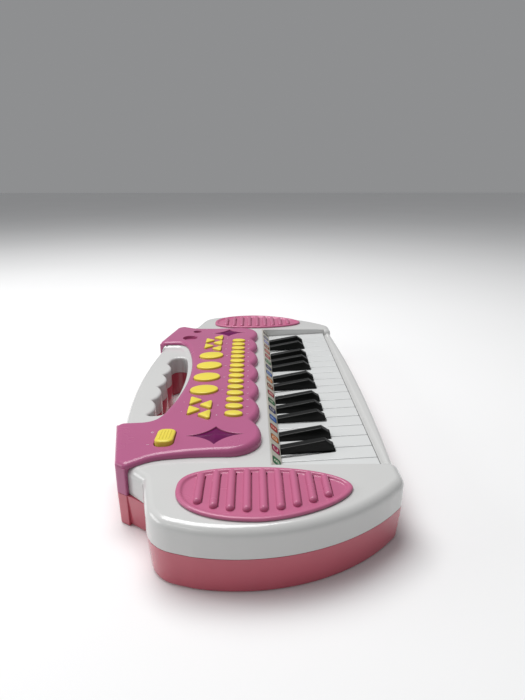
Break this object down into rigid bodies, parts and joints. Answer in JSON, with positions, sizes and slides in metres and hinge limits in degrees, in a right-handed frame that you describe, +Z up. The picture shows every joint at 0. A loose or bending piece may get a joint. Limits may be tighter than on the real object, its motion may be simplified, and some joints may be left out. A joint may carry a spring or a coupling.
{
  "type": "toy electronic keyboard",
  "caption": "Toy electronic keyboard with sprung piano keys, raised scalloped control panel, oval and triangle buttons, end speaker grilles and a carrying handle.",
  "frame": {"origin": "middle of the bounding box at the flat underside", "axes": "+X along the keys toward the treble end, -Y toward the player, +Z up"},
  "size_m": [0.4478, 0.205, 0.0525],
  "materials": {
    "pink_shell": "glossy moulded dusty pink",
    "white_shell": "glossy moulded cool off-white",
    "mauve_panel": "glossy moulded mauve pink",
    "purple_gem": "translucent moulded purple",
    "label_film": null,
    "white_key": "glossy white",
    "black_key": "glossy black",
    "yellow_button": "satin yellow",
    "steel": "plated",
    "circuit_board": "solder mask",
    "silicone": "grey silicone",
    "speaker": "paper cone in a steel frame"
  },
  "bodies": {
    "case": {"lower_case": "pink_shell", "upper_case": "white_shell", "control_panel": "mauve_panel", "speaker_grille_bass": "mauve_panel", "speaker_grille_treble": "mauve_panel", "gem_lens_bass": "purple_gem", "gem_lens_treble": "purple_gem", "note_label_strip": "label_film", "key_hinge_rod": "steel", "main_circuit_board": "circuit_board", "button_dome_sheet": "silicone", "key_contact_board": "circuit_board", "key_dome_strip": "silicone", "speaker_driver_bass": "speaker", "speaker_driver_treble": "speaker", "battery_door": "pink_shell", "battery_door_screw": "steel", "battery_contacts": "steel"},
    "white_key_01": {"white_key_01": "white_key"},
    "white_key_02": {"white_key_02": "white_key"},
    "white_key_03": {"white_key_03": "white_key"},
    "white_key_04": {"white_key_04": "white_key"},
    "white_key_05": {"white_key_05": "white_key"},
    "white_key_06": {"white_key_06": "white_key"},
    "white_key_07": {"white_key_07": "white_key"},
    "white_key_08": {"white_key_08": "white_key"},
    "white_key_09": {"white_key_09": "white_key"},
    "white_key_10": {"white_key_10": "white_key"},
    "white_key_11": {"white_key_11": "white_key"},
    "white_key_12": {"white_key_12": "white_key"},
    "white_key_13": {"white_key_13": "white_key"},
    "white_key_14": {"white_key_14": "white_key"},
    "white_key_15": {"white_key_15": "white_key"},
    "white_key_16": {"white_key_16": "white_key"},
    "white_key_17": {"white_key_17": "white_key"},
    "white_key_18": {"white_key_18": "white_key"},
    "white_key_19": {"white_key_19": "white_key"},
    "black_key_01": {"black_key_01": "black_key"},
    "black_key_02": {"black_key_02": "black_key"},
    "black_key_03": {"black_key_03": "black_key"},
    "black_key_04": {"black_key_04": "black_key"},
    "black_key_05": {"black_key_05": "black_key"},
    "black_key_06": {"black_key_06": "black_key"},
    "black_key_07": {"black_key_07": "black_key"},
    "black_key_08": {"black_key_08": "black_key"},
    "black_key_09": {"black_key_09": "black_key"},
    "black_key_10": {"black_key_10": "black_key"},
    "black_key_11": {"black_key_11": "black_key"},
    "black_key_12": {"black_key_12": "black_key"},
    "tone_button_row": {"tone_button_row": "yellow_button"},
    "mode_button_01": {"mode_button_01": "yellow_button"},
    "mode_button_02": {"mode_button_02": "yellow_button"},
    "mode_button_03": {"mode_button_03": "yellow_button"},
    "mode_button_04": {"mode_button_04": "yellow_button"},
    "bass_down_button_pair": {"bass_down_button_pair": "yellow_button"},
    "bass_up_button_pair": {"bass_up_button_pair": "yellow_button"},
    "treble_down_button_pair": {"treble_down_button_pair": "yellow_button"},
    "treble_up_button_trio": {"treble_up_button_trio": "yellow_button"},
    "power_switch": {"power_switch": "yellow_button"}
  },
  "joints": [
    {"name": "white_key_01_press", "type": "hinge", "parent": "case", "child": "white_key_01", "pos_m": [0, 0.014, 0.03], "axis": [1, 0, 0], "range_deg": [0, 2], "stiffness_Nm_per_rad": 0.8, "springref_deg": -2.29},
    {"name": "white_key_02_press", "type": "hinge", "parent": "case", "child": "white_key_02", "pos_m": [0, 0.014, 0.03], "axis": [1, 0, 0], "range_deg": [0, 2], "stiffness_Nm_per_rad": 0.8, "springref_deg": -2.29},
    {"name": "white_key_03_press", "type": "hinge", "parent": "case", "child": "white_key_03", "pos_m": [0, 0.014, 0.03], "axis": [1, 0, 0], "range_deg": [0, 2], "stiffness_Nm_per_rad": 0.8, "springref_deg": -2.29},
    {"name": "white_key_04_press", "type": "hinge", "parent": "case", "child": "white_key_04", "pos_m": [0, 0.014, 0.03], "axis": [1, 0, 0], "range_deg": [0, 2], "stiffness_Nm_per_rad": 0.8, "springref_deg": -2.29},
    {"name": "white_key_05_press", "type": "hinge", "parent": "case", "child": "white_key_05", "pos_m": [0, 0.014, 0.03], "axis": [1, 0, 0], "range_deg": [0, 2], "stiffness_Nm_per_rad": 0.8, "springref_deg": -2.29},
    {"name": "white_key_06_press", "type": "hinge", "parent": "case", "child": "white_key_06", "pos_m": [0, 0.014, 0.03], "axis": [1, 0, 0], "range_deg": [0, 2], "stiffness_Nm_per_rad": 0.8, "springref_deg": -2.29},
    {"name": "white_key_07_press", "type": "hinge", "parent": "case", "child": "white_key_07", "pos_m": [0, 0.014, 0.03], "axis": [1, 0, 0], "range_deg": [0, 2], "stiffness_Nm_per_rad": 0.8, "springref_deg": -2.29},
    {"name": "white_key_08_press", "type": "hinge", "parent": "case", "child": "white_key_08", "pos_m": [0, 0.014, 0.03], "axis": [1, 0, 0], "range_deg": [0, 2], "stiffness_Nm_per_rad": 0.8, "springref_deg": -2.29},
    {"name": "white_key_09_press", "type": "hinge", "parent": "case", "child": "white_key_09", "pos_m": [0, 0.014, 0.03], "axis": [1, 0, 0], "range_deg": [0, 2], "stiffness_Nm_per_rad": 0.8, "springref_deg": -2.29},
    {"name": "white_key_10_press", "type": "hinge", "parent": "case", "child": "white_key_10", "pos_m": [0, 0.014, 0.03], "axis": [1, 0, 0], "range_deg": [0, 2], "stiffness_Nm_per_rad": 0.8, "springref_deg": -2.29},
    {"name": "white_key_11_press", "type": "hinge", "parent": "case", "child": "white_key_11", "pos_m": [0, 0.014, 0.03], "axis": [1, 0, 0], "range_deg": [0, 2], "stiffness_Nm_per_rad": 0.8, "springref_deg": -2.29},
    {"name": "white_key_12_press", "type": "hinge", "parent": "case", "child": "white_key_12", "pos_m": [0, 0.014, 0.03], "axis": [1, 0, 0], "range_deg": [0, 2], "stiffness_Nm_per_rad": 0.8, "springref_deg": -2.29},
    {"name": "white_key_13_press", "type": "hinge", "parent": "case", "child": "white_key_13", "pos_m": [0, 0.014, 0.03], "axis": [1, 0, 0], "range_deg": [0, 2], "stiffness_Nm_per_rad": 0.8, "springref_deg": -2.29},
    {"name": "white_key_14_press", "type": "hinge", "parent": "case", "child": "white_key_14", "pos_m": [0, 0.014, 0.03], "axis": [1, 0, 0], "range_deg": [0, 2], "stiffness_Nm_per_rad": 0.8, "springref_deg": -2.29},
    {"name": "white_key_15_press", "type": "hinge", "parent": "case", "child": "white_key_15", "pos_m": [0, 0.014, 0.03], "axis": [1, 0, 0], "range_deg": [0, 2], "stiffness_Nm_per_rad": 0.8, "springref_deg": -2.29},
    {"name": "white_key_16_press", "type": "hinge", "parent": "case", "child": "white_key_16", "pos_m": [0, 0.014, 0.03], "axis": [1, 0, 0], "range_deg": [0, 2], "stiffness_Nm_per_rad": 0.8, "springref_deg": -2.29},
    {"name": "white_key_17_press", "type": "hinge", "parent": "case", "child": "white_key_17", "pos_m": [0, 0.014, 0.03], "axis": [1, 0, 0], "range_deg": [0, 2], "stiffness_Nm_per_rad": 0.8, "springref_deg": -2.29},
    {"name": "white_key_18_press", "type": "hinge", "parent": "case", "child": "white_key_18", "pos_m": [0, 0.014, 0.03], "axis": [1, 0, 0], "range_deg": [0, 2], "stiffness_Nm_per_rad": 0.8, "springref_deg": -2.29},
    {"name": "white_key_19_press", "type": "hinge", "parent": "case", "child": "white_key_19", "pos_m": [0, 0.014, 0.03], "axis": [1, 0, 0], "range_deg": [0, 2], "stiffness_Nm_per_rad": 0.8, "springref_deg": -2.29},
    {"name": "black_key_01_press", "type": "hinge", "parent": "case", "child": "black_key_01", "pos_m": [0, 0.014, 0.03], "axis": [1, 0, 0], "range_deg": [0, 2.4], "stiffness_Nm_per_rad": 0.8, "springref_deg": -2.29},
    {"name": "black_key_02_press", "type": "hinge", "parent": "case", "child": "black_key_02", "pos_m": [0, 0.014, 0.03], "axis": [1, 0, 0], "range_deg": [0, 2.4], "stiffness_Nm_per_rad": 0.8, "springref_deg": -2.29},
    {"name": "black_key_03_press", "type": "hinge", "parent": "case", "child": "black_key_03", "pos_m": [0, 0.014, 0.03], "axis": [1, 0, 0], "range_deg": [0, 2.4], "stiffness_Nm_per_rad": 0.8, "springref_deg": -2.29},
    {"name": "black_key_04_press", "type": "hinge", "parent": "case", "child": "black_key_04", "pos_m": [0, 0.014, 0.03], "axis": [1, 0, 0], "range_deg": [0, 2.4], "stiffness_Nm_per_rad": 0.8, "springref_deg": -2.29},
    {"name": "black_key_05_press", "type": "hinge", "parent": "case", "child": "black_key_05", "pos_m": [0, 0.014, 0.03], "axis": [1, 0, 0], "range_deg": [0, 2.4], "stiffness_Nm_per_rad": 0.8, "springref_deg": -2.29},
    {"name": "black_key_06_press", "type": "hinge", "parent": "case", "child": "black_key_06", "pos_m": [0, 0.014, 0.03], "axis": [1, 0, 0], "range_deg": [0, 2.4], "stiffness_Nm_per_rad": 0.8, "springref_deg": -2.29},
    {"name": "black_key_07_press", "type": "hinge", "parent": "case", "child": "black_key_07", "pos_m": [0, 0.014, 0.03], "axis": [1, 0, 0], "range_deg": [0, 2.4], "stiffness_Nm_per_rad": 0.8, "springref_deg": -2.29},
    {"name": "black_key_08_press", "type": "hinge", "parent": "case", "child": "black_key_08", "pos_m": [0, 0.014, 0.03], "axis": [1, 0, 0], "range_deg": [0, 2.4], "stiffness_Nm_per_rad": 0.8, "springref_deg": -2.29},
    {"name": "black_key_09_press", "type": "hinge", "parent": "case", "child": "black_key_09", "pos_m": [0, 0.014, 0.03], "axis": [1, 0, 0], "range_deg": [0, 2.4], "stiffness_Nm_per_rad": 0.8, "springref_deg": -2.29},
    {"name": "black_key_10_press", "type": "hinge", "parent": "case", "child": "black_key_10", "pos_m": [0, 0.014, 0.03], "axis": [1, 0, 0], "range_deg": [0, 2.4], "stiffness_Nm_per_rad": 0.8, "springref_deg": -2.29},
    {"name": "black_key_11_press", "type": "hinge", "parent": "case", "child": "black_key_11", "pos_m": [0, 0.014, 0.03], "axis": [1, 0, 0], "range_deg": [0, 2.4], "stiffness_Nm_per_rad": 0.8, "springref_deg": -2.29},
    {"name": "black_key_12_press", "type": "hinge", "parent": "case", "child": "black_key_12", "pos_m": [0, 0.014, 0.03], "axis": [1, 0, 0], "range_deg": [0, 2.4], "stiffness_Nm_per_rad": 0.8, "springref_deg": -2.29},
    {"name": "tone_button_row_press", "type": "slide", "parent": "case", "child": "tone_button_row", "axis": [0, 0, -1], "range_m": [0, 0.0015], "stiffness_N_per_m": 600, "springref_m": -0.001},
    {"name": "mode_button_01_press", "type": "slide", "parent": "case", "child": "mode_button_01", "axis": [0, 0, -1], "range_m": [0, 0.0015], "stiffness_N_per_m": 600, "springref_m": -0.001},
    {"name": "mode_button_02_press", "type": "slide", "parent": "case", "child": "mode_button_02", "axis": [0, 0, -1], "range_m": [0, 0.0015], "stiffness_N_per_m": 600, "springref_m": -0.001},
    {"name": "mode_button_03_press", "type": "slide", "parent": "case", "child": "mode_button_03", "axis": [0, 0, -1], "range_m": [0, 0.0015], "stiffness_N_per_m": 600, "springref_m": -0.001},
    {"name": "mode_button_04_press", "type": "slide", "parent": "case", "child": "mode_button_04", "axis": [0, 0, -1], "range_m": [0, 0.0015], "stiffness_N_per_m": 600, "springref_m": -0.001},
    {"name": "bass_down_button_pair_press", "type": "slide", "parent": "case", "child": "bass_down_button_pair", "axis": [0, 0, -1], "range_m": [0, 0.0015], "stiffness_N_per_m": 600, "springref_m": -0.001},
    {"name": "bass_up_button_pair_press", "type": "slide", "parent": "case", "child": "bass_up_button_pair", "axis": [0, 0, -1], "range_m": [0, 0.0015], "stiffness_N_per_m": 600, "springref_m": -0.001},
    {"name": "treble_down_button_pair_press", "type": "slide", "parent": "case", "child": "treble_down_button_pair", "axis": [0, 0, -1], "range_m": [0, 0.0015], "stiffness_N_per_m": 600, "springref_m": -0.001},
    {"name": "treble_up_button_trio_press", "type": "slide", "parent": "case", "child": "treble_up_button_trio", "axis": [0, 0, -1], "range_m": [0, 0.0015], "stiffness_N_per_m": 600, "springref_m": -0.001},
    {"name": "power_switch_rock", "type": "hinge", "parent": "case", "child": "power_switch", "pos_m": [-0.1273, 0.0585, 0.044], "axis": [0, -1, 0], "range_deg": [0, 10]}
  ]
}
